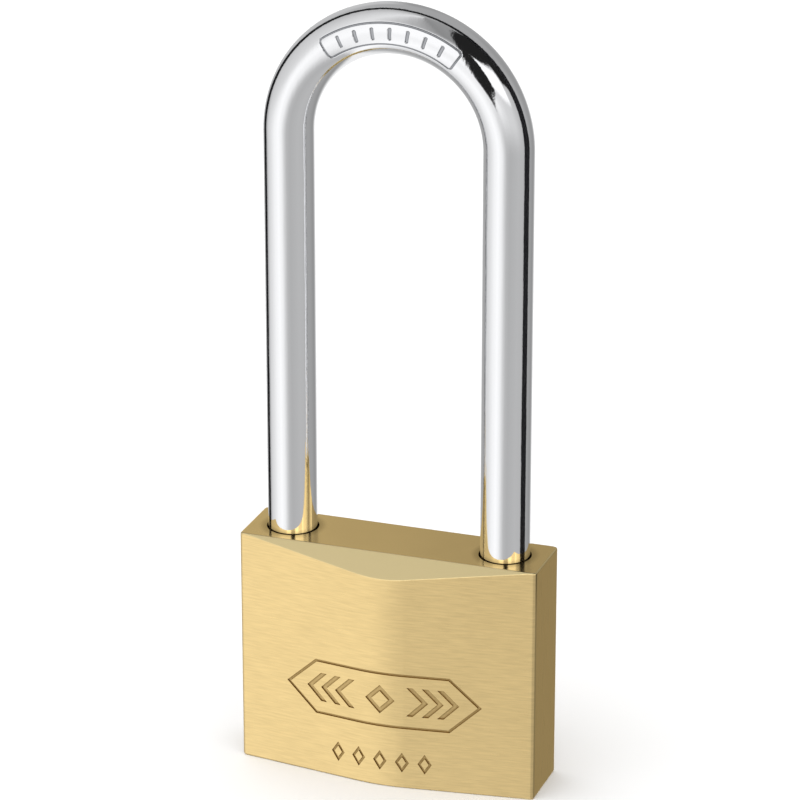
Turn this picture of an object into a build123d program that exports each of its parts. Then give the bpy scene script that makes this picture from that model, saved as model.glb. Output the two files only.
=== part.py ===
from build123d import *
import os
from math import cos, radians, sin

os.makedirs("parts", exist_ok=True)

# Padlock with a long shackle, in millimetres. Origin at the middle of the base, +Z up,
# X across the width, -Y the marked front. It is stored closed with the plug turned to open.

# Body: a six-sided block, deepest along the middle of the front and back
BODY_WIDTH = 50.0
BODY_HEIGHT = 39.5
EDGE_DEPTH = 11.5  # front to back at the narrow sides
RIDGE_DEPTH = 18.4  # front to back at the middle, before the ridge is rounded
RIDGE_RADIUS = 29.0
CORNER_RADIUS = 0.6
CHAMFER_DROP = 3.6  # height of the sloping top facet at the ridge
EDGE_BREAK = 0.3

# Shackle: a round bar, the long heel leg on the right and the short toe leg on the left
BAR_RADIUS = 4.0
LEG_X = 18.0
ARCH_Z = 106.2  # centre of the half-circle
LEG_HOLE_RADIUS = 4.25
TOE_TIP_Z = 26.3
TOE_HOLE_Z = 25.6
TIP_CHAMFER = 0.9
LIFT = 14.0

# Heel end: a long turned neck above a full-size head, so that the shackle lifts and turns
NECK_RADIUS = 2.3
HEEL_TIP_Z = 7.3
HEEL_HOLE_Z = 3.0
HEEL_PIN_RADIUS = 1.0
HEEL_PIN_X = 14.55
HEEL_PIN_Z = 25.4
HEEL_PIN_END_Y = -3.0
NECK_TOP_Z = HEEL_PIN_Z + HEEL_PIN_RADIUS + 0.2
NECK_BOTTOM_Z = HEEL_PIN_Z - HEEL_PIN_RADIUS - LIFT - 0.1

# Locking bolts: two round bolts in one cross bore, each with a nose and a driven arm
BOLT_Z = 31.5
BOLT_RADIUS = 2.95
BOLT_BORE_RADIUS = 3.0
BOLT_BORE_END_X = 15.0
BOLT_NOSE_X = 13.7
BOLT_TRAVEL = 1.8
NOSE_HALF_HEIGHT = 2.2
NOSE_LENGTH = 2.7
NOSE_SLOPE = 1.3
NOTCH_HALF_HEIGHT = 2.4
NOTCH_FLOOR_X = BOLT_NOSE_X + BOLT_TRAVEL + 0.2
BLOCK_INNER_X = 7.5
ARM_END_X = 3.0
ARM_GAP = 0.1  # from the middle plane to each arm
CHANNEL_PLUG_END_X = -22.4

# Cylinder plug and its cam
PLUG_RADIUS = 5.0
PLUG_BORE_RADIUS = 5.05
PLUG_BOTTOM_Z = 0.3
PLUG_TOP_Z = 25.2
FLANGE_RADIUS = 5.7
FLANGE_TOP_Z = 1.9
FLANGE_BORE_RADIUS = 5.8
FLANGE_BORE_Z = 2.0
CAM_RADIUS = 4.6
CAM_TOP_Z = 27.9
CAM_BORE_Z = 28.2
TONGUE_WIDTH = 2.0
TONGUE_DEPTH = 1.0
DRIVE_PIN_RADIUS = 0.6
DRIVE_PIN_TOP_Z = 31.6
DRIVE_PIN_OFFSET = BOLT_TRAVEL / 2  # each way from the axis when the plug stands open
DRIVE_SLOT_HALF = 0.7
DRIVE_SLOT_Y = 2.05
DRIVE_SLOT_TOP_Z = 32.0
DRIVE_BORE_RADIUS = 2.3
PLUG_PIN_RADIUS = 1.0
PLUG_PIN_X = 5.0
PLUG_PIN_Z = 22.9
PLUG_PIN_END_Y = -3.5
GROOVE_RADIUS = 3.85
GROOVE_HALF_HEIGHT = 1.15
KEYWAY_TOP_Z = 21.6

# Pin stacks: chambers drilled from the left side, their key pins carried by the plug
PIN_COUNT = 5
PIN_PITCH = 3.8
FIRST_PIN_Z = 4.6
PIN_RADIUS = 1.45
CHAMBER_RADIUS = 1.5
KEY_PIN_END = 4.9  # outer end of each key pin, from the plug's axis
KEY_PIN_LENGTHS = [3.2, 4.1, 2.8, 3.6, 4.4]
KEY_PIN_TIP_RADIUS = 0.55
KEY_PIN_POINT = 0.9
PIN_HOLE_FLOOR = 0.2
DRIVER_START = 5.05
DRIVER_LENGTH = 5.5
PIN_BREAK = 0.25
CHAMBER_PLUG_LENGTH = 4.5

# Springs
PIN_SPRING_RADIUS = 1.1
PIN_SPRING_WIRE = 0.15
PIN_SPRING_TURNS = 9
BOLT_SPRING_RADIUS = 1.05
BOLT_SPRING_WIRE = 0.16
BOLT_SPRING_TURNS = 8
BOLT_SPRING_Y = 1.5
BOLT_SPRING_POCKET_RADIUS = 1.35
BOLT_SPRING_POCKET = 1.5
SHACKLE_SPRING_RADIUS = 3.1
SHACKLE_SPRING_WIRE = 0.35
SHACKLE_SPRING_TURNS = 4
SPRING_GAP = 0.08

# Engraved ornament on the front
ENGRAVE_DEPTH = 0.2
PANEL_Z = 15.3
PANEL_HALF_WIDTH = 16.6
PANEL_HALF_HEIGHT = 4.8
PANEL_POINT = 5.2  # length of each pointed end
PANEL_LINE = 0.45
CHEVRON_LINE = 0.75
CHEVRON_HALF_HEIGHT = 2.5
CHEVRON_LEAN = 2.5
CHEVRON_XS = [4.4, 6.9, 9.4]
CENTRE_DIAMOND = 2.5
ROW_Z = 4.5
ROW_PITCH = 3.7
ROW_COUNT = 5
ROW_HALF_WIDTH = 1.15
ROW_HALF_HEIGHT = 1.75
ROW_LINE = 0.42

# Stamped panel on the front of the arch
STAMP_HALF_ANGLE = 36.0
STAMP_HALF_WIDTH = 1.75
STAMP_LINE_RADIUS = 0.16
DASH_ANGLES = [-27.0, -18.0, -9.0, 0.0, 9.0, 18.0, 27.0]
DASH_HALF_LENGTH = 0.75
DASH_RADIUS = 0.28


def save(node, shape):
    shape.label = node
    export_step(shape, f"parts/{node}.step")


def bar(radius, start, end):
    """A solid cylinder between two points."""
    axis = Vector(*end) - Vector(*start)
    return Solid.make_cylinder(radius, axis.length, Plane(origin=start, z_dir=axis))


def turned(points, origin, direction):
    """A turned piece from (radius, distance) points, its distances running along direction."""
    outline = make_face(Polyline(*points, close=True))
    piece = revolve(Plane.XZ * outline, Axis.Z)
    return Plane(origin=origin, z_dir=direction) * piece


def box_between(low, high):
    size = [b - a for a, b in zip(low, high)]
    middle = [(a + b) / 2 for a, b in zip(low, high)]
    return Pos(*middle) * Box(*size)


def coil(radius, wire, turns, start, end):
    """A compression spring between two points on its axis, clear of both end faces."""
    axis = Vector(*end) - Vector(*start)
    height = axis.length - 2 * (wire + SPRING_GAP)
    path = Helix(pitch=height / turns, height=height, radius=radius)
    across = Plane(origin=path @ 0, z_dir=path % 0)
    spring = sweep(across * Circle(wire), path=path, is_frenet=True)
    place = Plane(origin=start, z_dir=axis)
    return place * (Pos(0, 0, wire + SPRING_GAP) * spring)


def outline_face(inset):
    """The body's plan, moved inward by inset on its front and back."""
    edge_y = EDGE_DEPTH / 2 - inset
    ridge_y = RIDGE_DEPTH / 2 - inset
    half = BODY_WIDTH / 2
    corners = [
        (-half, -edge_y),
        (0, -ridge_y),
        (half, -edge_y),
        (half, edge_y),
        (0, ridge_y),
        (-half, edge_y),
    ]
    plan = make_face(Polyline(*corners, close=True))
    ridges = plan.vertices().filter_by_position(Axis.X, -1, 1)
    plan = fillet(ridges, RIDGE_RADIUS)
    ends = plan.vertices().filter_by_position(Axis.X, -half, -half)
    ends += plan.vertices().filter_by_position(Axis.X, half, half)
    return fillet(ends, CORNER_RADIUS)


def top_facet(side):
    """The wedge that is cut away above the sloping facet, on the front (-1) or back (1)."""
    slope = CHAMFER_DROP / ((RIDGE_DEPTH - EDGE_DEPTH) / 2)
    reach = RIDGE_DEPTH
    start_y = side * EDGE_DEPTH / 2
    points = [
        (start_y, BODY_HEIGHT),
        (start_y + side * reach, BODY_HEIGHT - slope * reach),
        (start_y + side * reach, BODY_HEIGHT + 1),
        (start_y, BODY_HEIGHT + 1),
    ]
    wedge = make_face(Polyline(*points, close=True))
    return extrude(Plane.YZ * wedge, amount=BODY_WIDTH, both=True)


def flat_ring(points, line):
    """A closed outline of the given line width."""
    outer = make_face(Polyline(*points, close=True))
    return outer - offset(outer, amount=-line, kind=Kind.INTERSECTION)


def diamond(x, z, half_width, half_height):
    return [(x - half_width, z), (x, z - half_height), (x + half_width, z), (x, z + half_height)]


def chevron(x, side):
    """An arrow-shaped stroke that points away from the middle."""
    tip = side * (x + CHEVRON_LEAN)
    foot = side * x
    wide = side * CHEVRON_LINE * 1.4
    points = [
        (foot, PANEL_Z + CHEVRON_HALF_HEIGHT),
        (foot + wide, PANEL_Z + CHEVRON_HALF_HEIGHT),
        (tip + wide, PANEL_Z),
        (foot + wide, PANEL_Z - CHEVRON_HALF_HEIGHT),
        (foot, PANEL_Z - CHEVRON_HALF_HEIGHT),
        (tip, PANEL_Z),
    ]
    return make_face(Polyline(*points, close=True))


def ornament():
    """The engraved pattern: a pointed panel with chevrons, above a row of small diamonds."""
    shoulder = PANEL_HALF_WIDTH - PANEL_POINT
    panel = [
        (-PANEL_HALF_WIDTH, PANEL_Z),
        (-shoulder, PANEL_Z - PANEL_HALF_HEIGHT),
        (shoulder, PANEL_Z - PANEL_HALF_HEIGHT),
        (PANEL_HALF_WIDTH, PANEL_Z),
        (shoulder, PANEL_Z + PANEL_HALF_HEIGHT),
        (-shoulder, PANEL_Z + PANEL_HALF_HEIGHT),
    ]
    pieces = [flat_ring(panel, PANEL_LINE)]
    pieces.append(flat_ring(diamond(0, PANEL_Z, CENTRE_DIAMOND, CENTRE_DIAMOND), CHEVRON_LINE))
    for side in (-1, 1):
        pieces += [chevron(x, side) for x in CHEVRON_XS]
    for i in range(ROW_COUNT):
        x = (i - (ROW_COUNT - 1) / 2) * ROW_PITCH
        pieces.append(flat_ring(diamond(x, ROW_Z, ROW_HALF_WIDTH, ROW_HALF_HEIGHT), ROW_LINE))
    prisms = []
    for piece in pieces:
        prisms += extrude(Plane.XZ * piece, amount=RIDGE_DEPTH).solids()
    return prisms


def pin_height(i):
    return FIRST_PIN_Z + i * PIN_PITCH


def make_body():
    body = extrude(outline_face(0), amount=BODY_HEIGHT)
    for side in (-1, 1):
        body -= top_facet(side)
    body = break_edges(body)

    cuts = [
        bar(LEG_HOLE_RADIUS, (-LEG_X, 0, TOE_HOLE_Z), (-LEG_X, 0, BODY_HEIGHT + 1)),
        bar(LEG_HOLE_RADIUS, (LEG_X, 0, HEEL_HOLE_Z), (LEG_X, 0, BODY_HEIGHT + 1)),
        bar(BOLT_BORE_RADIUS, (-BODY_WIDTH / 2 - 1, 0, BOLT_Z), (BOLT_BORE_END_X, 0, BOLT_Z)),
        bar(PLUG_BORE_RADIUS, (0, 0, -1), (0, 0, CAM_BORE_Z)),
        bar(FLANGE_BORE_RADIUS, (0, 0, -1), (0, 0, FLANGE_BORE_Z)),
        bar(DRIVE_BORE_RADIUS, (0, 0, CAM_BORE_Z - 1), (0, 0, BOLT_Z)),
        bar(HEEL_PIN_RADIUS, (HEEL_PIN_X, HEEL_PIN_END_Y, HEEL_PIN_Z), (HEEL_PIN_X, RIDGE_DEPTH, HEEL_PIN_Z)),
        bar(PLUG_PIN_RADIUS, (PLUG_PIN_X, PLUG_PIN_END_Y, PLUG_PIN_Z), (PLUG_PIN_X, RIDGE_DEPTH, PLUG_PIN_Z)),
    ]
    for i in range(PIN_COUNT):
        z = pin_height(i)
        cuts.append(bar(CHAMBER_RADIUS, (-BODY_WIDTH / 2 - 1, 0, z), (-PLUG_RADIUS + 1, 0, z)))
    for cut in cuts:
        body -= cut

    core = extrude(outline_face(ENGRAVE_DEPTH), amount=BODY_HEIGHT)
    for prism in ornament():
        body -= prism - core
    return body


def break_edges(body):
    """Rounds every sharp edge of the block apart from its upright corners, which are round already."""
    return fillet(body.edges() - body.edges().filter_by(Axis.Z), EDGE_BREAK)


def make_shackle():
    arch = revolve(Plane.XY * Pos(LEG_X, 0) * Circle(BAR_RADIUS), Axis.Y, -180)
    shackle = Pos(0, 0, ARCH_Z) * arch
    shackle += bar(BAR_RADIUS, (-LEG_X, 0, TOE_TIP_Z), (-LEG_X, 0, ARCH_Z))
    shackle += bar(BAR_RADIUS, (LEG_X, 0, NECK_TOP_Z), (LEG_X, 0, ARCH_Z))
    shackle += bar(NECK_RADIUS, (LEG_X, 0, NECK_BOTTOM_Z), (LEG_X, 0, NECK_TOP_Z))
    shackle += bar(BAR_RADIUS, (LEG_X, 0, HEEL_TIP_Z), (LEG_X, 0, NECK_BOTTOM_Z))

    toe_end = shackle.edges().filter_by_position(Axis.Z, TOE_TIP_Z, TOE_TIP_Z).filter_by(GeomType.CIRCLE)
    shackle = chamfer(toe_end, TIP_CHAMFER)
    for side in (-1, 1):
        inner, outer = side * (LEG_X - BAR_RADIUS - 1), side * NOTCH_FLOOR_X
        low = (min(inner, outer), -BAR_RADIUS, BOLT_Z - NOTCH_HALF_HEIGHT)
        high = (max(inner, outer), BAR_RADIUS, BOLT_Z + NOTCH_HALF_HEIGHT)
        shackle -= box_between(low, high)
    for mark in arch_marks():
        shackle -= mark
    return shackle


def arch_marks():
    """The stamped outline and dashes, on the front of the arch."""
    drop = (BAR_RADIUS**2 - STAMP_HALF_WIDTH**2) ** 0.5
    marks = []
    for radius in (LEG_X - STAMP_HALF_WIDTH, LEG_X + STAMP_HALF_WIDTH):
        ring = Solid.make_torus(radius, STAMP_LINE_RADIUS, Plane(origin=(0, -drop, ARCH_Z), z_dir=(0, 1, 0)))
        marks += [ring & arch_sector()]
    for angle in (-STAMP_HALF_ANGLE, STAMP_HALF_ANGLE):
        place = arch_place(angle)
        end = Solid.make_torus(BAR_RADIUS, STAMP_LINE_RADIUS, Plane(origin=(0, 0, 0), z_dir=(1, 0, 0)))
        front = box_between((-1, -BAR_RADIUS - 1, -STAMP_HALF_WIDTH), (1, -drop + 0.3, STAMP_HALF_WIDTH))
        marks += [place * (end & front)]
    for angle in DASH_ANGLES:
        place = arch_place(angle)
        dash = bar(DASH_RADIUS, (0, -BAR_RADIUS, -DASH_HALF_LENGTH), (0, -BAR_RADIUS, DASH_HALF_LENGTH))
        marks += [place * dash]
    return marks


def arch_place(angle):
    """A frame on the arch's centre line: X along the bar, Z away from the arch's centre."""
    turn = radians(angle)
    out = Vector(sin(turn), 0, cos(turn))
    along = Vector(cos(turn), 0, -sin(turn))
    centre = Vector(0, 0, ARCH_Z) + out * LEG_X
    return Plane(origin=centre, x_dir=along, z_dir=out)


def arch_sector():
    """A wedge-shaped slab that holds the stamped length of the arch."""
    reach = 2 * LEG_X
    half = radians(STAMP_HALF_ANGLE)
    points = [(0, 0), (-reach * sin(half), reach * cos(half)), (reach * sin(half), reach * cos(half))]
    wedge = make_face(Polyline(*points, close=True))
    return Pos(0, 0, ARCH_Z) * extrude(Plane.XZ * wedge, amount=2 * BAR_RADIUS)


def make_bolt():
    """The left bolt, its nose to the left and its arm in front of the middle plane."""
    nose, step = -BOLT_NOSE_X, -BOLT_NOSE_X + NOSE_LENGTH
    side = [
        (nose, BOLT_Z - NOSE_HALF_HEIGHT),
        (step, BOLT_Z - NOSE_HALF_HEIGHT),
        (step, BOLT_Z - BOLT_RADIUS),
        (ARM_END_X, BOLT_Z - BOLT_RADIUS),
        (ARM_END_X, BOLT_Z + BOLT_RADIUS),
        (step, BOLT_Z + BOLT_RADIUS),
        (step, BOLT_Z + NOSE_HALF_HEIGHT),
        (nose + NOSE_SLOPE, BOLT_Z + NOSE_HALF_HEIGHT),
        (nose, BOLT_Z + NOSE_HALF_HEIGHT - NOSE_SLOPE),
    ]
    profile = extrude(Plane.XZ * make_face(Polyline(*side, close=True)), amount=BOLT_RADIUS + 1, both=True)
    bolt = bar(BOLT_RADIUS, (nose, 0, BOLT_Z), (ARM_END_X, 0, BOLT_Z)) & profile
    top = BOLT_Z + BOLT_RADIUS + 1
    bottom = BOLT_Z - BOLT_RADIUS - 1
    bolt -= box_between((-BLOCK_INNER_X, -ARM_GAP, bottom), (ARM_END_X + 1, BOLT_RADIUS + 1, top))
    slot_low = (DRIVE_PIN_OFFSET - DRIVE_SLOT_HALF, -DRIVE_SLOT_Y, bottom)
    bolt -= box_between(slot_low, (DRIVE_PIN_OFFSET + DRIVE_SLOT_HALF, 0, DRIVE_SLOT_TOP_Z))
    mouth = (-BLOCK_INNER_X, BOLT_SPRING_Y, BOLT_Z)
    floor = (-BLOCK_INNER_X - BOLT_SPRING_POCKET, BOLT_SPRING_Y, BOLT_Z)
    return bolt - bar(BOLT_SPRING_POCKET_RADIUS, floor, mouth)


def make_plug():
    """The cylinder plug as it stands when open: its pin holes face the front."""
    plug = bar(PLUG_RADIUS, (0, 0, PLUG_BOTTOM_Z), (0, 0, PLUG_TOP_Z))
    plug += bar(FLANGE_RADIUS, (0, 0, PLUG_BOTTOM_Z), (0, 0, FLANGE_TOP_Z))
    groove_low, groove_high = PLUG_PIN_Z - GROOVE_HALF_HEIGHT, PLUG_PIN_Z + GROOVE_HALF_HEIGHT
    groove = bar(PLUG_RADIUS + 1, (0, 0, groove_low), (0, 0, groove_high))
    plug -= groove - bar(GROOVE_RADIUS, (0, 0, groove_low), (0, 0, groove_high))
    keyway = [
        (-0.8, -3.6),
        (0.8, -3.6),
        (0.8, 4.0),
        (-0.8, 4.0),
        (-0.8, 1.6),
        (-0.3, 1.6),
        (-0.3, 0.4),
        (-0.8, 0.4),
    ]
    plug -= extrude(make_face(Polyline(*keyway, close=True)), amount=KEYWAY_TOP_Z)
    for i in range(PIN_COUNT):
        z = pin_height(i)
        plug -= bar(CHAMBER_RADIUS, (0, -PLUG_RADIUS - 1, z), (0, -PIN_HOLE_FLOOR, z))
    half = TONGUE_WIDTH / 2
    low = (-PLUG_RADIUS - 1, -half, PLUG_TOP_Z - TONGUE_DEPTH)
    return plug - box_between(low, (PLUG_RADIUS + 1, half, PLUG_TOP_Z + 1))


def make_cam():
    """The disc on the plug's inner end, with a tongue below and two drive pins above."""
    cam = bar(CAM_RADIUS, (0, 0, PLUG_TOP_Z), (0, 0, CAM_TOP_Z))
    tongue = box_between(
        (-CAM_RADIUS, -TONGUE_WIDTH / 2, PLUG_TOP_Z - TONGUE_DEPTH),
        (CAM_RADIUS, TONGUE_WIDTH / 2, PLUG_TOP_Z),
    )
    cam += tongue & bar(CAM_RADIUS, (0, 0, PLUG_TOP_Z - TONGUE_DEPTH), (0, 0, CAM_TOP_Z))
    for side in (-1, 1):
        x, y = -side * DRIVE_PIN_OFFSET, side * DRIVE_PIN_OFFSET
        cam += bar(DRIVE_PIN_RADIUS, (x, y, CAM_TOP_Z), (x, y, DRIVE_PIN_TOP_Z))
    return cam


def make_key_pin(i):
    length = KEY_PIN_LENGTHS[i]
    points = [
        (0, 0),
        (PIN_RADIUS - 2 * PIN_BREAK, 0),
        (PIN_RADIUS, PIN_BREAK),
        (PIN_RADIUS, length - KEY_PIN_POINT),
        (KEY_PIN_TIP_RADIUS, length),
        (0, length),
    ]
    return turned(points, (0, -KEY_PIN_END, pin_height(i)), (0, 1, 0))


def make_driver_pin(i):
    points = [
        (0, 0),
        (PIN_RADIUS - PIN_BREAK, 0),
        (PIN_RADIUS, PIN_BREAK),
        (PIN_RADIUS, DRIVER_LENGTH - PIN_BREAK),
        (PIN_RADIUS - PIN_BREAK, DRIVER_LENGTH),
        (0, DRIVER_LENGTH),
    ]
    return turned(points, (-DRIVER_START, 0, pin_height(i)), (-1, 0, 0))


def dressed_pin(radius, x, z, end_y):
    """A pin driven in from the back and dressed flush with the back face."""
    pin = bar(radius, (x, end_y, z), (x, RIDGE_DEPTH, z))
    return pin & extrude(outline_face(0), amount=BODY_HEIGHT)


save("lock_body", make_body())
save("shackle", make_shackle())
save("cylinder_plug", make_plug())
save("plug_cam", make_cam())

left_bolt = make_bolt()
save("locking_bolt_left", left_bolt)
save("locking_bolt_right", Rot(0, 0, 180) * left_bolt)

spring_start = (-BLOCK_INNER_X - BOLT_SPRING_POCKET, BOLT_SPRING_Y, BOLT_Z)
spring_end = (-ARM_END_X, BOLT_SPRING_Y, BOLT_Z)
left_spring = coil(BOLT_SPRING_RADIUS, BOLT_SPRING_WIRE, BOLT_SPRING_TURNS, spring_start, spring_end)
save("bolt_spring_left", left_spring)
save("bolt_spring_right", Rot(0, 0, 180) * left_spring)

side_x = -BODY_WIDTH / 2
for i in range(PIN_COUNT):
    z = pin_height(i)
    driver_end = (-DRIVER_START - DRIVER_LENGTH, 0, z)
    plug_end = (side_x + CHAMBER_PLUG_LENGTH, 0, z)
    save(f"key_pin_{i + 1}", make_key_pin(i))
    save(f"driver_pin_{i + 1}", make_driver_pin(i))
    spring = coil(PIN_SPRING_RADIUS, PIN_SPRING_WIRE, PIN_SPRING_TURNS, driver_end, plug_end)
    save(f"pin_spring_{i + 1}", spring)
    save(f"chamber_plug_{i + 1}", bar(CHAMBER_RADIUS, (side_x, 0, z), plug_end))

save("bolt_channel_plug", bar(BOLT_BORE_RADIUS, (side_x, 0, BOLT_Z), (CHANNEL_PLUG_END_X, 0, BOLT_Z)))
save("shackle_retaining_pin", dressed_pin(HEEL_PIN_RADIUS, HEEL_PIN_X, HEEL_PIN_Z, HEEL_PIN_END_Y))
save("plug_retaining_pin", dressed_pin(PLUG_PIN_RADIUS, PLUG_PIN_X, PLUG_PIN_Z, PLUG_PIN_END_Y))

heel_floor, heel_tip = (LEG_X, 0, HEEL_HOLE_Z), (LEG_X, 0, HEEL_TIP_Z)
lift_spring = coil(SHACKLE_SPRING_RADIUS, SHACKLE_SPRING_WIRE, SHACKLE_SPRING_TURNS, heel_floor, heel_tip)
save("shackle_spring", lift_spring)
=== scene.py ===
"""Padlock with a long shackle: brass body, chromed bar, and the working pieces inside."""
import math

import bpy
from bpy.props import FloatProperty, FloatVectorProperty, PointerProperty
from bpy.types import Operator, Panel, PropertyGroup
from mathutils import Matrix, Vector


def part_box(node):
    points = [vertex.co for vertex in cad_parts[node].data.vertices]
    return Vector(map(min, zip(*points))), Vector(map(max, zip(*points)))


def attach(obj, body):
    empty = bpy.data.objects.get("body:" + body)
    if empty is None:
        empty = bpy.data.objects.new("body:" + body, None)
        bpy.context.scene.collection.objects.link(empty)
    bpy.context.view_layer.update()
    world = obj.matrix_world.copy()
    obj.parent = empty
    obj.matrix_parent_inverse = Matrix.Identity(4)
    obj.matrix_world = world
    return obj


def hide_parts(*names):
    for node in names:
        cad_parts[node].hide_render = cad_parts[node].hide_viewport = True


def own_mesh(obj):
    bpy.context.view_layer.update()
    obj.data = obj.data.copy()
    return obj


bl_info = {
    "name": "Padlock with a long shackle",
    "version": (1, 0, 0),
    "blender": (4, 5, 0),
    "location": "View3D > Sidebar > Padlock",
    "description": "Finishes a brass padlock and its chromed shackle on their CAD frame",
    "category": "Object",
}

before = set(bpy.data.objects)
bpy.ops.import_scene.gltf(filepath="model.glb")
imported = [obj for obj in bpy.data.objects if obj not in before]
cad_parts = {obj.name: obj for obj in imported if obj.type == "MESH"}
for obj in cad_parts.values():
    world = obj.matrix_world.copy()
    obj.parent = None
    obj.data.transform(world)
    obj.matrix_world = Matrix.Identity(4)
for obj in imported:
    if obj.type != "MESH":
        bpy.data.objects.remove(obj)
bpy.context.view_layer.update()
MM = 0.001

# Corners in millimetres, from the packed model
SHACKLE_LOW, SHACKLE_HIGH = (Vector(corner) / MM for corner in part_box("shackle"))
BODY_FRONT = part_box("lock_body")[0][1] / MM

# Shackle sizes in millimetres, along the bar from the toe's tip to the heel's tip
BAR_RADIUS = SHACKLE_HIGH.y
LEG_X = SHACKLE_HIGH.x - BAR_RADIUS
ARCH_Z = SHACKLE_HIGH.z - LEG_X - BAR_RADIUS
HEEL_TIP_Z = SHACKLE_LOW.z
TOE_TIP_Z = 26.3
TIP_CHAMFER = 0.9
NOTCH_Z = (29.1, 33.9)
NOTCH_DEPTH = 1.7
NECK_RADIUS = 2.3
NECK_Z = (10.3, 26.6)

# Stamped panel on the front of the arch, in millimetres along the arch and across the bar
PANEL_HALF_LENGTH = 11.3
PANEL_HALF_WIDTH = 1.75
PANEL_CORNER = 0.6
DASH_PITCH = 2.83
DASH_COUNT = 7
DASH_HALF_LENGTH = 0.75
DASH_HALF_WIDTH = 0.24

# Pin springs, in millimetres
PIN_COUNT = 5
PIN_SPRING_TURNS = 9
PIN_WIRE_RADIUS = 0.15

# Body profile in millimetres, for telling the engraving from the face around it
RIDGE_HALF = -BODY_FRONT
RIDGE_RADIUS = 29.0
RIDGE_REACH = 3.96
FACE_SLOPE = 0.138


class PadlockBrass(PropertyGroup):
    """Finish of the brass body."""

    colour: FloatVectorProperty(
        name="Brass", description="Colour of the clean brass", default=(0.935, 0.705, 0.332),
        subtype="COLOR", size=3, min=0.0, max=1.0)
    # Painted shade: a dark brown laid into the engraved grooves of the body
    dark: FloatVectorProperty(
        name="Engraving", description="Colour in the engraved lines", default=(0.30, 0.18, 0.055),
        subtype="COLOR", size=3, min=0.0, max=1.0)
    front_roughness: FloatProperty(
        name="Front roughness", description="How dull the brushed faces are", default=0.32,
        min=0.05, max=1.0, subtype="FACTOR")
    top_roughness: FloatProperty(
        name="Top roughness", description="How dull the milled top is", default=0.17,
        min=0.05, max=1.0, subtype="FACTOR")
    grain: FloatProperty(
        name="Grain depth", description="Depth of the brushing", default=0.000010,
        min=0.0, max=0.0001, subtype="DISTANCE", unit="LENGTH", precision=6)


class PadlockChrome(PropertyGroup):
    """Finish of the plated shackle."""

    colour: FloatVectorProperty(
        name="Chrome", description="Colour of the plating", default=(0.93, 0.935, 0.95),
        subtype="COLOR", size=3, min=0.0, max=1.0)
    roughness: FloatProperty(
        name="Roughness", description="How dull the plating is", default=0.055,
        min=0.0, max=1.0, subtype="FACTOR")
    # Painted shade: a grey laid into the stamped lines of the plating
    stamp_shade: FloatVectorProperty(
        name="Stamp shade", description="Colour in the stamped lines", default=(0.46, 0.47, 0.49),
        subtype="COLOR", size=3, min=0.0, max=1.0)
    stamp_depth: FloatProperty(
        name="Stamp depth", description="Depth of the stamped panel", default=0.00020,
        min=0.0, max=0.0005, subtype="DISTANCE", unit="LENGTH", precision=5)


class PadlockInside(PropertyGroup):
    """Finishes of the pieces that work inside the body."""

    steel: FloatVectorProperty(
        name="Steel", description="Colour of the bolts, pins and springs", default=(0.60, 0.60, 0.62),
        subtype="COLOR", size=3, min=0.0, max=1.0)
    turned_brass: FloatVectorProperty(
        name="Turned brass", description="Colour of the plug and the tumbler pins",
        default=(0.88, 0.69, 0.36), subtype="COLOR", size=3, min=0.0, max=1.0)


class PadlockStudio(PropertyGroup):
    """Camera and light."""

    azimuth: FloatProperty(
        name="Azimuth", description="Camera's turn to the right of the front",
        default=math.radians(19.563), subtype="ANGLE", unit="ROTATION")
    elevation: FloatProperty(
        name="Elevation", description="Camera's height above the horizon",
        default=math.radians(21.04), subtype="ANGLE", unit="ROTATION")
    distance: FloatProperty(
        name="Distance", description="From the camera to the point it looks at",
        default=0.629322, min=0.1, subtype="DISTANCE", unit="LENGTH")
    target: FloatVectorProperty(
        name="Target", description="The point that the camera looks at",
        default=(0.000301, 0.0, 0.063464), subtype="TRANSLATION", unit="LENGTH", size=3)
    lens: FloatProperty(
        name="Lens", description="Focal length", default=179.40, min=10.0, subtype="DISTANCE_CAMERA",
        unit="CAMERA")
    light: FloatProperty(
        name="Surround", description="Strength of the studio's surround", default=1.0, min=0.0)


GROUPS = {
    "padlock_brass": PadlockBrass,
    "padlock_chrome": PadlockChrome,
    "padlock_inside": PadlockInside,
    "padlock_studio": PadlockStudio,
}


# Node helpers

def add(tree, kind, **settings):
    """A new node with some of its own settings."""
    node = tree.nodes.new(kind)
    for key, value in settings.items():
        setattr(node, key, value)
    return node


def feed(tree, socket, value):
    """Links value to the socket if it is a socket, and otherwise sets it."""
    if isinstance(value, bpy.types.NodeSocket):
        tree.links.new(value, socket)
    elif value is not None:
        socket.default_value = value


def maths(tree, operation, *values, clamp=False):
    node = add(tree, "ShaderNodeMath", operation=operation, use_clamp=clamp)
    for socket, value in zip(node.inputs, values):
        feed(tree, socket, value)
    return node.outputs[0]


def ramp_between(tree, value, low, high, to_low=0.0, to_high=1.0, smooth=True):
    node = add(tree, "ShaderNodeMapRange", interpolation_type="SMOOTHSTEP" if smooth else "LINEAR")
    for socket, number in zip(node.inputs, (value, low, high, to_low, to_high)):
        feed(tree, socket, number)
    return node.outputs[0]


def mix_colours(tree, factor, first, second, blend="MIX"):
    node = add(tree, "ShaderNodeMix", data_type="RGBA", blend_type=blend)
    feed(tree, node.inputs[0], factor)
    for socket, value in ((node.inputs[6], first), (node.inputs[7], second)):
        feed(tree, socket, value if isinstance(value, bpy.types.NodeSocket) else (*value[:3], 1.0))
    return node.outputs[2]


def mix_numbers(tree, factor, first, second):
    node = add(tree, "ShaderNodeMix", data_type="FLOAT")
    for socket, value in zip(node.inputs[:4], (factor, None, first, second)):
        if value is not None:
            feed(tree, socket, value)
    return node.outputs[0]


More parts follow.
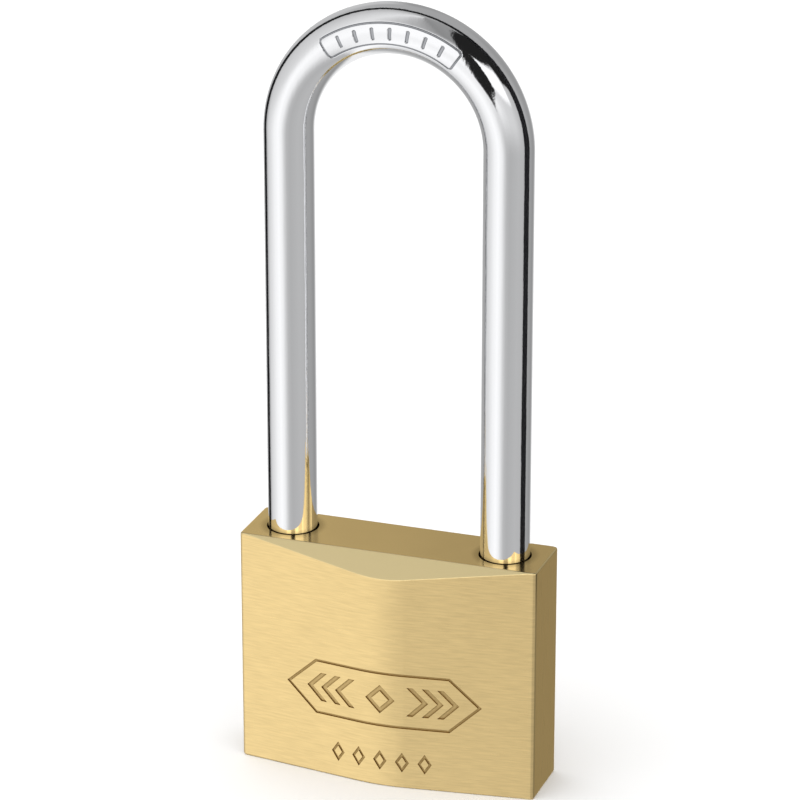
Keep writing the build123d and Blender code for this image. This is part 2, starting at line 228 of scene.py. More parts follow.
def place(tree):
    """Object coordinates in millimetres, whole and split into X, Y and Z."""
    coords = add(tree, "ShaderNodeTexCoord")
    scale = add(tree, "ShaderNodeVectorMath", operation="SCALE")
    feed(tree, scale.inputs[0], coords.outputs["Object"])
    scale.inputs["Scale"].default_value = 1000.0
    split = add(tree, "ShaderNodeSeparateXYZ")
    feed(tree, split.inputs[0], scale.outputs[0])
    return scale.outputs[0], split.outputs[0], split.outputs[1], split.outputs[2]


def facing(tree):
    """The surface's own direction in the piece's frame, split into X, Y and Z."""
    coords = add(tree, "ShaderNodeTexCoord")
    split = add(tree, "ShaderNodeSeparateXYZ")
    feed(tree, split.inputs[0], coords.outputs["Normal"])
    return split.outputs


def stretched(tree, vector, stretch):
    mapping = add(tree, "ShaderNodeMapping")
    feed(tree, mapping.inputs["Vector"], vector)
    mapping.inputs["Scale"].default_value = stretch
    return mapping.outputs[0]


def grain(tree, vector, stretch, scale=1.0, detail=4.0, rough=0.6):
    """Noise drawn out along one direction, as brushing leaves it."""
    noise = add(tree, "ShaderNodeTexNoise")
    feed(tree, noise.inputs["Vector"], stretched(tree, vector, stretch))
    noise.inputs["Scale"].default_value = scale
    noise.inputs["Detail"].default_value = detail
    noise.inputs["Roughness"].default_value = rough
    return noise.outputs["Fac"]


def bump(tree, height, distance, strength=1.0, normal=None):
    node = add(tree, "ShaderNodeBump")
    feed(tree, node.inputs["Height"], height)
    node.inputs["Distance"].default_value = distance
    node.inputs["Strength"].default_value = strength
    feed(tree, node.inputs["Normal"], normal)
    return node.outputs[0]


def new_material(name):
    material = bpy.data.materials.new(name)
    material.use_nodes = True
    tree = material.node_tree
    tree.nodes.clear()
    shader = add(tree, "ShaderNodeBsdfPrincipled")
    output = add(tree, "ShaderNodeOutputMaterial")
    tree.links.new(shader.outputs[0], output.inputs[0])
    shader.inputs["Metallic"].default_value = 1.0
    return material, tree, shader.inputs


def finish_nodes(names, material):
    """Gives CAD pieces a finish, keeping their meshes as they are."""
    for name in names:
        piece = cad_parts[name]
        piece.data.materials.clear()
        piece.data.materials.append(material)


# Finishes

def engraved(tree, x, y, z):
    """1 in the floor of the engraving, from how far a point lies behind the front's own profile."""
    across = maths(tree, "ABSOLUTE", x)
    near = maths(tree, "MINIMUM", across, RIDGE_REACH)
    squared = maths(tree, "MULTIPLY", near, near)
    round_part = maths(tree, "SQRT", maths(tree, "SUBTRACT", RIDGE_RADIUS**2, squared))
    fall = maths(tree, "MULTIPLY", maths(tree, "SUBTRACT", across, near), FACE_SLOPE)
    profile = maths(tree, "SUBTRACT", maths(tree, "ADD", round_part, RIDGE_HALF - RIDGE_RADIUS), fall)
    cut = ramp_between(tree, maths(tree, "ADD", y, profile), 0.03, 0.12)
    for limit in (maths(tree, "LESS_THAN", y, -4.0), maths(tree, "LESS_THAN", z, 25.0),
                  maths(tree, "LESS_THAN", across, 20.0)):
        cut = maths(tree, "MULTIPLY", cut, limit)
    return cut


def length_of(tree, first, second):
    squares = [maths(tree, "MULTIPLY", value, value) for value in (first, second)]
    return maths(tree, "SQRT", maths(tree, "ADD", *squares))


def combined(tree, x=0.0, y=0.0, z=0.0):
    node = add(tree, "ShaderNodeCombineXYZ")
    for socket, value in zip(node.inputs, (x, y, z)):
        feed(tree, socket, value)
    return node.outputs[0]


def body_brass(settings, name="body_brass", shade=1.0):
    """Brass: brushed along the front and back, upright on the narrow sides, smooth on the top; with painted
    shade on the narrow sides, round the legs and in the engraving, and a painted highlight on the chamfer
    facet.
    """
    material, tree, sockets = new_material(name)
    where, x, y, z = place(tree)
    nx, _, nz = facing(tree)

    side = ramp_between(tree, maths(tree, "ABSOLUTE", nx), 0.75, 0.95)
    top = ramp_between(tree, nz, 0.85, 0.97)
    facet = maths(tree, "SUBTRACT", ramp_between(tree, nz, 0.3, 0.6), top, clamp=True)
    flat = maths(tree, "MAXIMUM", top, facet)
    cut = engraved(tree, x, y, z)

    face = combined(tree, x=x, z=z)
    edge = combined(tree, y=y, z=z)
    scratches = grain(tree, face, (0.24, 1.0, 8.0), detail=5.0, rough=0.65)
    strokes = grain(tree, face, (0.26, 1.0, 3.4), detail=2.5, rough=0.55)
    upright = grain(tree, edge, (1.0, 9.0, 0.12), detail=5.0, rough=0.6)
    clouds = grain(tree, where, (0.09, 0.09, 0.09), detail=2.0, rough=0.5)
    fine = mix_numbers(tree, side, scratches, upright)

    tone = ramp_between(tree, strokes, 0.32, 0.68, 0.91, 1.04, smooth=False)
    tone = maths(tree, "MULTIPLY", tone, ramp_between(tree, scratches, 0.3, 0.7, 0.97, 1.03, smooth=False))
    tone = maths(tree, "MULTIPLY", tone, ramp_between(tree, clouds, 0.3, 0.7, 0.975, 1.025, smooth=False))
    # Painted shade: the narrow sides are darkened to 0.60–0.72 of the brass, along their upright grain
    tone = mix_numbers(tree, side, tone, ramp_between(tree, upright, 0.3, 0.7, 0.60, 0.72, smooth=False))
    tone = mix_numbers(tree, flat, tone, ramp_between(tree, clouds, 0.3, 0.7, 0.97, 1.03, smooth=False))
    # Painted shade on the top round each leg, darkest next to the leg, which the legs' plating mirrors as a
    # dark band
    from_leg = maths(tree, "SUBTRACT", maths(tree, "ABSOLUTE", x), LEG_X)
    painted_shade_round_legs = ramp_between(tree, length_of(tree, from_leg, y), 4.2, 5.8, 0.64, 1.0)
    tone = maths(tree, "MULTIPLY", tone, mix_numbers(tree, top, 1.0, painted_shade_round_legs))
    tone = maths(tree, "MULTIPLY", tone, shade)
    colour = mix_colours(tree, 1.0, settings.colour, combined(tree, tone, tone, tone), blend="MULTIPLY")
    # Painted highlight: the chamfer facet is lightened towards a pale cream brass
    with_painted_facet_highlight = mix_colours(tree, maths(tree, "MULTIPLY", facet, 0.8), colour, (0.99, 0.84, 0.47))
    # Painted shade in the engraving: the dark brown goes on fully in narrow grooves and corners, where
    # ambient occlusion finds them, and at about a third on wide floors
    corner = add(tree, "ShaderNodeAmbientOcclusion", samples=6, only_local=True)
    corner.inputs["Distance"].default_value = 0.45 * MM
    painted_groove_shade = ramp_between(tree, corner.outputs["AO"], 0.60, 0.98, 1.0, 0.35)
    painted_engraving_shade = maths(tree, "MULTIPLY", cut, painted_groove_shade)
    feed(tree, sockets["Base Color"], mix_colours(tree, painted_engraving_shade, with_painted_facet_highlight, settings.dark))

    dull = settings.front_roughness
    rough = ramp_between(tree, fine, 0.3, 0.7, dull - 0.05, dull + 0.05)
    rough = mix_numbers(tree, flat, rough, settings.top_roughness)
    rough = mix_numbers(tree, facet, rough, 0.42)
    rough = mix_numbers(tree, cut, rough, 0.45)
    feed(tree, sockets["Roughness"], rough)
    sockets["Specular Tint"].default_value = (1.0, 0.84, 0.56, 1.0)
    sockets["Anisotropic"].default_value = 0.45
    feed(tree, sockets["Tangent"], tangent_along(tree, side))

    height = mix_numbers(tree, maths(tree, "MULTIPLY", flat, 0.9), fine, 0.5)
    feed(tree, sockets["Normal"], bump(tree, height, settings.grain, 1.0))
    return material


def tangent_along(tree, side):
    """The brushing's direction: across the width on the faces, upright on the narrow sides."""
    across = add(tree, "ShaderNodeCombineXYZ")
    across.inputs[0].default_value = 1.0
    upright = add(tree, "ShaderNodeCombineXYZ")
    upright.inputs[2].default_value = 1.0
    node = add(tree, "ShaderNodeMix", data_type="VECTOR")
    feed(tree, node.inputs[0], side)
    feed(tree, node.inputs[4], across.outputs[0])
    feed(tree, node.inputs[5], upright.outputs[0])
    return node.outputs[1]


def shackle_chrome(settings):
    """Bright plating over a bar that is not quite smooth."""
    material, tree, sockets = new_material("shackle_chrome")
    where, x, y, z = place(tree)
    pits = grain(tree, where, (1.0, 1.0, 1.0), scale=3.2, detail=3.0, rough=0.6)
    waves = grain(tree, where, (1.0, 1.0, 0.12), scale=0.9, detail=2.0, rough=0.5)
    off_bend = maths(tree, "SUBTRACT", length_of(tree, x, maths(tree, "SUBTRACT", z, ARCH_Z)), LEG_X)
    depth = maths(tree, "SUBTRACT", BAR_RADIUS, length_of(tree, off_bend, y))
    on_arch = maths(tree, "GREATER_THAN", z, ARCH_Z + 4.0)
    sunk = maths(tree, "MULTIPLY", ramp_between(tree, depth, 0.03, 0.12), on_arch)
    # Painted shade: the stamped lines are greyed, and made duller
    feed(tree, sockets["Base Color"], mix_colours(tree, sunk, settings.colour, settings.stamp_shade))
    rough = ramp_between(tree, pits, 0.35, 0.75, settings.roughness * 0.7, settings.roughness * 1.5)
    feed(tree, sockets["Roughness"], mix_numbers(tree, sunk, rough, 0.32))
    first = bump(tree, pits, 0.0000035, 1.0)
    feed(tree, sockets["Normal"], bump(tree, waves, 0.000012, 1.0, first))
    return material


def turned_metal(name, colour, roughness, axis):
    """Turned or drawn metal, with fine rings round its axis."""
    material, tree, sockets = new_material(name)
    where = place(tree)[0]
    stretch = {"X": (5.0, 0.35, 0.35), "Y": (0.35, 5.0, 0.35), "Z": (0.35, 0.35, 5.0)}[axis]
    rings = grain(tree, where, stretch, scale=1.2, detail=4.0, rough=0.6)
    stain = grain(tree, where, (0.5, 0.5, 0.5), scale=1.0, detail=2.0)
    low = [channel * 0.82 for channel in colour]
    worn = mix_colours(tree, ramp_between(tree, stain, 0.35, 0.75), colour, low)
    feed(tree, sockets["Base Color"], worn)
    feed(tree, sockets["Roughness"], ramp_between(tree, rings, 0.3, 0.7, roughness - 0.06, roughness + 0.08))
    feed(tree, sockets["Normal"], bump(tree, rings, 0.000008, 1.0))
    return material


# Shackle mesh

def shackle_rings():
    """Every ring of the bar: (centre, outward, across, radius, inner limit, arch angle)."""
    rings = []

    def leg_ring(side, z, radius, limit=None):
        # A leg's outward direction is away from the middle of the padlock
        rings.append((Vector((side * LEG_X, 0, z)), Vector((side, 0, 0)), radius, limit, None))

    leg_ring(-1, TOE_TIP_Z, 0.0)
    leg_ring(-1, TOE_TIP_Z, BAR_RADIUS - TIP_CHAMFER)
    leg_ring(-1, TOE_TIP_Z + TIP_CHAMFER, BAR_RADIUS)
    notch(leg_ring, -1, False)
    steps = 24
    for i in range(steps):
        leg_ring(-1, NOTCH_Z[1] + 2 + (ARCH_Z - NOTCH_Z[1] - 2) * i / steps, BAR_RADIUS)
    for angle in arch_angles():
        out = Vector((math.sin(angle), 0, math.cos(angle)))
        rings.append((Vector((0, 0, ARCH_Z)) + out * LEG_X, out, BAR_RADIUS, None, angle))
    for i in range(1, steps + 1):
        leg_ring(1, ARCH_Z + (NOTCH_Z[1] + 2 - ARCH_Z) * i / steps, BAR_RADIUS)
    notch(leg_ring, 1, True)
    leg_ring(1, NECK_Z[1], BAR_RADIUS)
    leg_ring(1, NECK_Z[1], NECK_RADIUS)
    leg_ring(1, NECK_Z[0], NECK_RADIUS)
    leg_ring(1, NECK_Z[0], BAR_RADIUS)
    leg_ring(1, HEEL_TIP_Z, BAR_RADIUS)
    leg_ring(1, HEEL_TIP_Z, 0.0)
    return rings


def notch(leg_ring, side, downward):
    """The flat-floored notch that a locking bolt enters, on the inner side of a leg."""
    limit = BAR_RADIUS - NOTCH_DEPTH
    low, high = NOTCH_Z
    order = [(low, None), (low, limit), (high, limit), (high, None)]
    for z, floor in reversed(order) if downward else order:
        leg_ring(side, z, BAR_RADIUS, floor)


def arch_angles():
    """Angles over the arch from left to right, close together where the panel is stamped."""
    reach = (PANEL_HALF_LENGTH + 0.6) / LEG_X
    coarse, fine = 40, 340
    angles = [-math.pi / 2 + (math.pi / 2 - reach) * i / coarse for i in range(coarse)]
    angles += [-reach + 2 * reach * i / fine for i in range(fine)]
    angles += [reach + (math.pi / 2 - reach) * i / coarse for i in range(coarse + 1)]
    return angles


def around():
    """Angles round the bar from its outward side, closer together on the front."""
    coarse, fine = 86, 110
    reach = math.radians(38)
    front = -math.pi / 2
    angles = [front - reach + 2 * reach * i / fine for i in range(fine)]
    angles += [front + reach + (2 * math.pi - 2 * reach) * i / coarse for i in range(coarse)]
    return angles


def stroke(distance, half_width, edge=0.10):
    """1 inside a line, falling to 0 over its edge."""
    return min(1.0, max(0.0, (half_width - abs(distance)) / edge + 0.5))


def stamped(along, across):
    """Depth of the stamping from 0 to 1, at millimetres along and across the bar's front."""
    over_a = abs(along) - PANEL_HALF_LENGTH + PANEL_CORNER
    over_c = abs(across) - PANEL_HALF_WIDTH + PANEL_CORNER
    outside = math.hypot(max(over_a, 0.0), max(over_c, 0.0)) + min(max(over_a, over_c), 0.0) - PANEL_CORNER
    depth = stroke(outside, 0.14)
    for i in range(DASH_COUNT):
        offset = abs(along - (i - (DASH_COUNT - 1) / 2) * DASH_PITCH)
        reach = math.hypot(offset, max(abs(across) - DASH_HALF_LENGTH, 0.0))
        depth = max(depth, stroke(reach, DASH_HALF_WIDTH, 0.12))
    return depth


def build_shackle(settings):
    """One closed mesh from the toe's tip, over the arch, to the heel's tip."""
    turns = around()
    vertices, faces = [], []
    previous = None
    for centre, out, radius, limit, angle in shackle_rings():
        if radius == 0.0:
            vertices.append(centre * MM)
            ring = [len(vertices) - 1]
        else:
            ring = []
            for turn in turns:
                outward, across = math.cos(turn) * radius, math.sin(turn) * radius
                if limit is not None:
                    outward = max(outward, -limit)
                point = centre + out * outward + Vector((0, across, 0))
                if angle is not None and across < 0:
                    along = angle * LEG_X
                    if abs(along) < PANEL_HALF_LENGTH + 0.5:
                        arc = (turn + math.pi / 2) * BAR_RADIUS
                        sink = stamped(along, arc) * settings.stamp_depth / MM
                        point -= (out * math.cos(turn) + Vector((0, math.sin(turn), 0))) * sink
                vertices.append(point * MM)
                ring.append(len(vertices) - 1)
        if previous:
            faces += joined(ring, previous)
        previous = ring
    mesh = bpy.data.meshes.new("shackle_bar")
    mesh.from_pydata(vertices, [], faces)
    mesh.polygons.foreach_set("use_smooth", [True] * len(mesh.polygons))
    mesh.set_sharp_from_angle(angle=math.radians(28))
    mesh.update()
    piece = bpy.data.objects.new("shackle_bar", mesh)
    bpy.context.scene.collection.objects.link(piece)
    return piece


def joined(first, second):
    """Faces between two neighbouring rings, either of which may be a single point."""
    count = max(len(first), len(second))
    faces = []
    for i in range(count):
        j = (i + 1) % count
        if len(first) == 1:
            faces.append((first[0], second[j], second[i]))
        elif len(second) == 1:
            faces.append((first[i], first[j], second[0]))
        else:
            faces.append((first[i], first[j], second[j], second[i]))
    return faces


# Pin springs

def build_coil(name, low, high):
    """A wire coil along X that fills the box between two corners, with closed ends."""
    middle = (low + high) / 2
    radius = (high.y - low.y) / 2 - PIN_WIRE_RADIUS
    start, run = low.x + PIN_WIRE_RADIUS, high.x - low.x - 2 * PIN_WIRE_RADIUS
    vertices, faces, previous = [], [], None
    steps, sides = 28, 12  # round each turn, and round the wire
    count = PIN_SPRING_TURNS * steps
    rise = run / (2 * math.pi * PIN_SPRING_TURNS)
    stations = [(0, 0.0)] + [(i, PIN_WIRE_RADIUS) for i in range(count + 1)] + [(count, 0.0)]
    for i, wire in stations:
        angle = 2 * math.pi * i / steps
        radial = Vector((0, math.cos(angle), math.sin(angle)))
        centre = Vector((start + run * i / count, middle.y, middle.z)) + radial * radius
        travel = Vector((rise, -radius * math.sin(angle), radius * math.cos(angle)))
        other = travel.normalized().cross(radial)
        ring = []
        for j in range(sides if wire else 1):
            turn = 2 * math.pi * j / sides
            ring.append(len(vertices))
            vertices.append((centre + (radial * math.cos(turn) + other * math.sin(turn)) * wire) * MM)
        if previous:
            faces += joined(previous, ring)
        previous = ring
    mesh = bpy.data.meshes.new(name)
    mesh.from_pydata(vertices, [], faces)
    mesh.polygons.foreach_set("use_smooth", [True] * len(mesh.polygons))
    mesh.set_sharp_from_angle(angle=math.radians(40))
    mesh.update()
    coil = bpy.data.objects.new(name, mesh)
    bpy.context.scene.collection.objects.link(coil)
    return coil


def build_pin_spring(number, steel):
    """A spring between its driver pin and its chamber plug."""
    node = f"pin_spring_{number}"
    low, high = (Vector(corner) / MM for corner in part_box(node))
    coil = build_coil(f"pin_coil_{number}", low, high)
    coil.data.materials.append(steel)
    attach(coil, "case")
    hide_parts(node)
    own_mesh(coil)


# Operators

class PADLOCK_OT_body(Operator):
    """Brushes the brass body, and paints shade into its engraving, onto its narrow sides and round the legs,
    and a highlight onto its chamfer
    """

    bl_idname = "padlock.body"
    bl_label = "Finish the body"

    def execute(self, context):
        finish_nodes(["lock_body"], body_brass(context.scene.padlock_brass))
        return {"FINISHED"}


class PADLOCK_OT_shackle(Operator):
    """Builds the plated bar, with its stamped panel, notches and turned neck"""

    bl_idname = "padlock.shackle"
    bl_label = "Build the shackle"

    def execute(self, context):
        settings = context.scene.padlock_chrome
        piece = build_shackle(settings)
        piece.data.materials.append(shackle_chrome(settings))
        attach(piece, "shackle")
        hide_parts("shackle")
        return {"FINISHED"}


class PADLOCK_OT_plug(Operator):
    """Finishes the cylinder plug and its cam"""

    bl_idname = "padlock.plug"
    bl_label = "Finish the plug"

    def execute(self, context):
        inside = context.scene.padlock_inside
        finish_nodes(["cylinder_plug"], turned_metal("plug_brass", inside.turned_brass, 0.3, "Z"))
        finish_nodes(["plug_cam"], turned_metal("cam_steel", inside.steel, 0.35, "Z"))
        return {"FINISHED"}


class PADLOCK_OT_tumblers(Operator):
    """Finishes the key pins, driver pins and the plugs that close their chambers"""

    bl_idname = "padlock.tumblers"
    bl_label = "Finish the pin stacks"

    def execute(self, context):
        inside = context.scene.padlock_inside
        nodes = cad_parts
        finish_nodes([n for n in nodes if n.startswith("key_pin")],
                     turned_metal("key_pin_brass", inside.turned_brass, 0.28, "Y"))
        finish_nodes([n for n in nodes if n.startswith("driver_pin")],
                     turned_metal("driver_pin_brass", inside.turned_brass, 0.28, "X"))
        finish_nodes([n for n in nodes if n.startswith("chamber_plug")] + ["bolt_channel_plug"],
                     body_brass(context.scene.padlock_brass, "chamber_plug_brass", 0.93))
        return {"FINISHED"}


class PADLOCK_OT_bolts(Operator):
    """Finishes the two locking bolts"""

    bl_idname = "padlock.bolts"
    bl_label = "Finish the bolts"

    def execute(self, context):
        steel = turned_metal("bolt_steel", context.scene.padlock_inside.steel, 0.32, "X")
        finish_nodes(["locking_bolt_left", "locking_bolt_right"], steel)
        return {"FINISHED"}


class PADLOCK_OT_springs(Operator):
    """Coils the pin springs and finishes the other springs"""

    bl_idname = "padlock.springs"
    bl_label = "Finish the springs"

    def execute(self, context):
        steel = turned_metal("spring_steel", context.scene.padlock_inside.steel, 0.24, "X")
        for number in range(1, PIN_COUNT + 1):
            build_pin_spring(number, steel)
        finish_nodes(["bolt_spring_left", "bolt_spring_right", "shackle_spring"], steel)
        return {"FINISHED"}


class PADLOCK_OT_retaining_pins(Operator):
    """Finishes the two pins that are dressed flush with the back"""

    bl_idname = "padlock.retaining_pins"
    bl_label = "Finish the retaining pins"

    def execute(self, context):
        steel = turned_metal("pin_steel", context.scene.padlock_inside.steel, 0.36, "X")
        finish_nodes(["shackle_retaining_pin", "plug_retaining_pin"], steel)
        return {"FINISHED"}


# Studio: (azimuth in degrees, brightness) round the padlock, 0 in front, positive to the right
LOW_SURROUND = [
    (-180, 0.90), (-163, 0.92), (-150, 0.66), (-138, 0.48), (-122, 0.38), (-100, 0.40), (-88, 0.68),
    (-70, 0.80), (-50, 0.97), (-30, 1.06), (-14, 0.93), (-3, 0.69), (8, 0.51), (22, 0.46), (60, 0.50),
    (82, 0.49), (94, 0.38), (125, 0.36), (150, 0.30), (160, 0.36), (170, 0.62), (180, 0.90),
]
MIDDLE_SURROUND = [
    (-180, 0.38), (-164, 0.32), (-156, 0.58), (-140, 0.56), (-110, 0.50), (-90, 0.62), (-60, 0.70),
    (-48, 0.78), (-36, 1.00), (-20, 1.06), (0, 1.04), (14, 0.98), (26, 0.80), (40, 0.70), (60, 0.68),
    (80, 0.55), (100, 0.45), (122, 0.42), (140, 0.34), (160, 0.32), (180, 0.38),
]
HIGH_SURROUND = [
    (-180, 0.38), (-140, 0.42), (-100, 0.52), (-70, 0.66), (-40, 0.79), (-12, 0.47), (10, 0.27),
    (40, 0.30), (90, 0.30), (130, 0.38), (180, 0.38),
]
DARK_UPPER = [
    (-8, -8), (-4, -2), (0, 5), (5, 13), (10, 23), (15, 33), (20, 43), (30, 58), (45, 67), (60, 71),
    (92, 73), (112, 62),
]
DARK_LOWER = [
    (-8, -7), (4, -7), (12, 0), (20, 5), (28, 10), (30, 14), (31, 36), (60, 39), (72, 41), (74, 28),
    (82, 27), (89, 24), (91, -16), (112, -16),
]


def lookup(tree, azimuth, stops, low=-180.0, high=180.0, offset=0.0, span=1.0):
    """A curve over azimuth, given as (degrees, value) pairs."""
    ramp = add(tree, "ShaderNodeValToRGB")
    feed(tree, ramp.inputs[0], ramp_between(tree, azimuth, low, high, 0.0, 1.0, smooth=False))
    elements = ramp.color_ramp.elements
    while len(elements) > 1:
        elements.remove(elements[-1])
    for i, (degrees, value) in enumerate(stops):
        position = (degrees - low) / (high - low)
        element = elements[0] if i == 0 else elements.new(position)
        element.position = position
        grey = (value - offset) / span
        element.color = (grey, grey, grey, 1.0)
    return maths(tree, "MULTIPLY_ADD", ramp.outputs[0], span, offset)


def window(tree, value, low, high, soft):
    """1 between two values, with soft ends."""
    rise = ramp_between(tree, value, low - soft, low + soft)
    fall = ramp_between(tree, value, high - soft, high + soft, 1.0, 0.0)
    return maths(tree, "MULTIPLY", rise, fall)


def build_surround(settings):
    """A tent of soft light, with a dark gap above and to the right of the camera."""
    world = bpy.data.worlds.new("studio_surround")
    bpy.context.scene.world = world
    world.use_nodes = True
    tree = world.node_tree
    tree.nodes.clear()
    coords = add(tree, "ShaderNodeTexCoord")
    split = add(tree, "ShaderNodeSeparateXYZ")
    feed(tree, split.inputs[0], coords.outputs["Generated"])
    x, y, z = split.outputs
    azimuth = maths(tree, "DEGREES", maths(tree, "ARCTAN2", x, maths(tree, "MULTIPLY", y, -1.0)))
    elevation = maths(tree, "DEGREES", maths(tree, "ARCSINE", z))

    low = lookup(tree, azimuth, LOW_SURROUND)
    middle = lookup(tree, azimuth, MIDDLE_SURROUND)
    high = lookup(tree, azimuth, HIGH_SURROUND)
    level = mix_numbers(tree, ramp_between(tree, elevation, -17.0, 2.0), low, middle)
    level = mix_numbers(tree, ramp_between(tree, elevation, 24.0, 44.0), level, high)

    beside = window(tree, azimuth, 31.0, 69.0, 2.0)
    bright = maths(tree, "MULTIPLY", beside, window(tree, elevation, 14.0, 37.0, 3.0))
    level = mix_numbers(tree, bright, level, 1.1)

    upper = lookup(tree, azimuth, DARK_UPPER, low=-8.0, high=112.0, offset=-20.0, span=100.0)
    lower = lookup(tree, azimuth, DARK_LOWER, low=-8.0, high=112.0, offset=-20.0, span=100.0)
    under = ramp_between(tree, maths(tree, "SUBTRACT", upper, elevation), -1.5, 2.5)
    over = ramp_between(tree, maths(tree, "SUBTRACT", elevation, lower), -1.5, 1.5)
    between = maths(tree, "MULTIPLY", under, over)
    gap = maths(tree, "MULTIPLY", between, window(tree, azimuth, -7.0, 110.5, 1.5))
    level = mix_numbers(tree, gap, level, 0.016)

    paths = add(tree, "ShaderNodeLightPath")
    level = mix_numbers(tree, paths.outputs["Is Camera Ray"], level, 1.0)
    background = add(tree, "ShaderNodeBackground")
    shade = add(tree, "ShaderNodeCombineXYZ")
    for socket in shade.inputs:
        feed(tree, socket, level)
    feed(tree, background.inputs["Color"], shade.outputs[0])
    background.inputs["Strength"].default_value = settings.light
    output = add(tree, "ShaderNodeOutputWorld")
    tree.links.new(background.outputs[0], output.inputs[0])


def build_hoop():
    """A black hoop a little behind the bar, seen only in reflections, that draws the plating's dark edge."""
    radius, foot = 41.0, 27.0
    outline = [(-radius, foot, 1.5, 12.5), (-radius, ARCH_Z, 1.5, 12.5)]
    steps = 48
    for i in range(1, steps):
        angle = math.pi * i / steps
        thin = math.sin(angle)
        near = 1.5 - 4.0 * i / steps + 1.5 * thin
        far = 12.5 - 3.0 * i / steps - 6.0 * thin
        outline.append((-radius * math.cos(angle), ARCH_Z + radius * math.sin(angle), near, far))
    outline += [(radius, ARCH_Z, -2.5, 9.5), (radius, foot, -2.5, 9.5)]
    vertices, faces = [], []
    for x, z, near, far in outline:
        vertices += [Vector((x, near, z)) * MM, Vector((x, far, z)) * MM]
    for i in range(len(outline) - 1):
        faces.append((2 * i, 2 * i + 1, 2 * i + 3, 2 * i + 2))
    mesh = bpy.data.meshes.new("black_hoop")
    mesh.from_pydata(vertices, [], faces)
    hoop = bpy.data.objects.new("black_hoop", mesh)
    bpy.context.scene.collection.objects.link(hoop)
    material, _, sockets = new_material("black_cloth")
    sockets["Metallic"].default_value = 0.0
    sockets["Base Color"].default_value = (0.008, 0.008, 0.010, 1.0)
    sockets["Roughness"].default_value = 0.9
    mesh.materials.append(material)
    only_in_reflections(hoop)


def only_in_reflections(card):
    """Hides a card from everything but the polished metal."""
    card.visible_camera = False
    card.visible_diffuse = False
    card.visible_shadow = False
    card.visible_transmission = False


def build_floor():
    """A pale floor that the polished metal doesn't mirror, and that is clear from below, to show the base."""
    reach, sunk = 3.0, -0.05 * MM
    corners = [(-reach, -reach, sunk), (reach, -reach, sunk), (reach, reach, sunk), (-reach, reach, sunk)]
    mesh = bpy.data.meshes.new("floor")
    mesh.from_pydata(corners, [], [(0, 1, 2, 3)])
    floor = bpy.data.objects.new("floor", mesh)
    bpy.context.scene.collection.objects.link(floor)
    material, tree, sockets = new_material("pale_floor")
    sockets["Metallic"].default_value = 0.0
    sockets["Base Color"].default_value = (0.92, 0.92, 0.92, 1.0)
    sockets["Roughness"].default_value = 0.9
    sockets["Specular IOR Level"].default_value = 0.0
    shader = next(node for node in tree.nodes if node.type == "BSDF_PRINCIPLED")
    output = next(node for node in tree.nodes if node.type == "OUTPUT_MATERIAL")
    clear = add(tree, "ShaderNodeBsdfTransparent")
    side = add(tree, "ShaderNodeNewGeometry")
    mix = add(tree, "ShaderNodeMixShader")
    feed(tree, mix.inputs[0], side.outputs["Backfacing"])
    tree.links.new(shader.outputs[0], mix.inputs[1])
    tree.links.new(clear.outputs[0], mix.inputs[2])
    tree.links.new(mix.outputs[0], output.inputs[0])
    mesh.materials.append(material)
    floor.visible_glossy = False


def add_sun(name, aim, strength, spread):
    """A far, wide lamp."""
    data = bpy.data.lights.new(name, "SUN")
    data.energy = strength
    data.angle = math.radians(spread)
    lamp = bpy.data.objects.new(name, data)
    bpy.context.scene.collection.objects.link(lamp)
    lamp.rotation_euler = Vector(aim).to_track_quat("-Z", "Y").to_euler()
    return lamp


def light_the_top():
    """Two low fills in front and to the right, on the body alone, that keep its top bright from behind."""
    only_brass = bpy.data.collections.new("body_and_its_plugs")
    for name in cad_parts:
        if name == "lock_body" or name.startswith("chamber_plug") or name == "bolt_channel_plug":
            only_brass.objects.link(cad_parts[name])
    strength, spread, elevation = 0.36, 52.0, 30.0
    for name, azimuth in (("front_fill", 18.0), ("side_fill", 92.0)):
        turn, rise = math.radians(azimuth), math.radians(elevation)
        aim = (-math.sin(turn) * math.cos(rise), math.cos(turn) * math.cos(rise), -math.sin(rise))
        lamp = add_sun(name, aim, strength, spread)
        lamp.light_linking.receiver_collection = only_brass


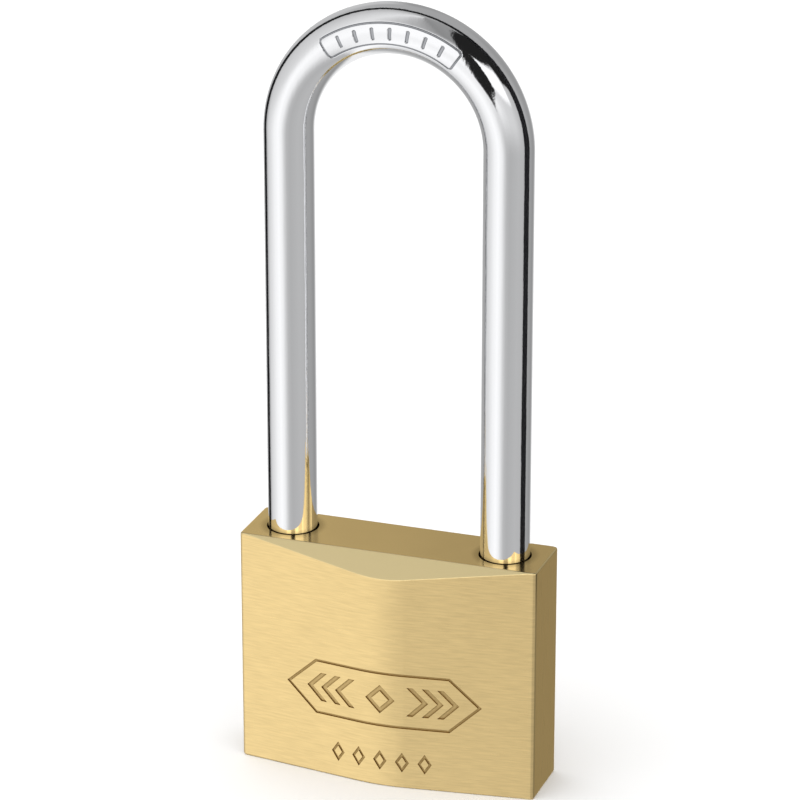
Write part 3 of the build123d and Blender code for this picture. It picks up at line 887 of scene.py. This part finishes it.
def build_camera(settings):
    turn, rise = settings.azimuth, settings.elevation
    back = Vector((math.sin(turn) * math.cos(rise), -math.cos(turn) * math.cos(rise), math.sin(rise)))
    right = Vector((math.cos(turn), math.sin(turn), 0.0))
    up = back.cross(right)
    data = bpy.data.cameras.new("camera")
    data.lens = settings.lens
    data.sensor_width = 36.0
    data.clip_start, data.clip_end = 0.01, 50.0
    camera = bpy.data.objects.new("camera", data)
    bpy.context.scene.collection.objects.link(camera)
    turned = Matrix((right, up, back)).transposed().to_4x4()
    camera.matrix_world = Matrix.Translation(Vector(settings.target) + back * settings.distance) @ turned
    bpy.context.scene.camera = camera


class PADLOCK_OT_stage(Operator):
    """Sets the floor, the surround, the black hoop, the lamps and the camera"""

    bl_idname = "padlock.stage"
    bl_label = "Set the stage"

    def execute(self, context):
        settings = context.scene.padlock_studio
        context.scene.view_settings.view_transform = "Standard"
        build_surround(settings)
        build_floor()
        build_hoop()
        # Even light on the floor, which polished metal doesn't mirror
        add_sun("even_light", (0.05, 0.12, -1.0), 2.45, 85.0).visible_glossy = False
        light_the_top()
        build_camera(settings)
        return {"FINISHED"}


STEPS = [
    PADLOCK_OT_body,
    PADLOCK_OT_shackle,
    PADLOCK_OT_plug,
    PADLOCK_OT_tumblers,
    PADLOCK_OT_bolts,
    PADLOCK_OT_springs,
    PADLOCK_OT_retaining_pins,
    PADLOCK_OT_stage,
]


class PADLOCK_PT_panel(Panel):
    """Lists the padlock's finishes and the steps that make it"""

    bl_label = "Padlock"
    bl_idname = "PADLOCK_PT_panel"
    bl_space_type = "VIEW_3D"
    bl_region_type = "UI"
    bl_category = "Padlock"

    def draw(self, context):
        layout = self.layout
        for name, group in GROUPS.items():
            box = layout.box()
            box.label(text=group.__doc__.rstrip("."))
            for key in group.__annotations__:
                box.prop(getattr(context.scene, name), key)
        for step in STEPS:
            layout.operator(step.bl_idname)


def register():
    for cls in [*GROUPS.values(), *STEPS, PADLOCK_PT_panel]:
        bpy.utils.register_class(cls)
    for name, group in GROUPS.items():
        setattr(bpy.types.Scene, name, PointerProperty(type=group))


def unregister():
    for name in GROUPS:
        delattr(bpy.types.Scene, name)
    for cls in reversed([*GROUPS.values(), *STEPS, PADLOCK_PT_panel]):
        bpy.utils.unregister_class(cls)


def main():
    register()
    for step in STEPS:
        group, name = step.bl_idname.split(".")
        getattr(getattr(bpy.ops, group), name)()
    bpy.context.view_layer.update()


if __name__ == "__main__":
    main()
